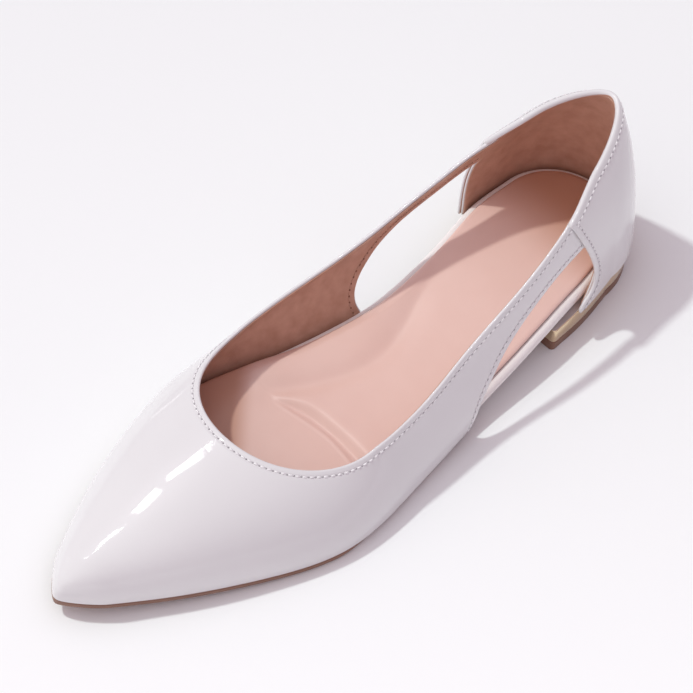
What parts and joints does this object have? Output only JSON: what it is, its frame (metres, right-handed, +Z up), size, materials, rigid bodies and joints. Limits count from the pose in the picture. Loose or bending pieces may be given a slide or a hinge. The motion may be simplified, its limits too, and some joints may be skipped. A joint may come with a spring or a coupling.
{
  "type": "pointed toe flat shoe",
  "caption": "Left pointed-toe flat in white patent leather with side cut-outs under topline straps, a heel counter, a padded sock and a low gold-banded block heel.",
  "frame": {"origin": "on the floor under the middle of the shoe's length and width", "axes": "+X points to the heel and -X to the toe, -Y is the outer side of the foot, +Z is up"},
  "size_m": [0.2634, 0.0884, 0.0708],
  "materials": {
    "white_patent": "patent gloss",
    "white_patent_counter": "patent gloss",
    "white_leather_board": "satin",
    "beige_leather": "soft matte grain",
    "gold_band": "metallised gold gloss",
    "tan_sole": "satin",
    "tan_lift": "satin"
  },
  "bodies": {
    "root": {"upper": "white_patent", "counter": "white_patent_counter", "footbed": "white_leather_board", "insole": "beige_leather", "heel_block": "gold_band", "outsole": "tan_sole", "top_piece": "tan_lift"}
  },
  "joints": []
}
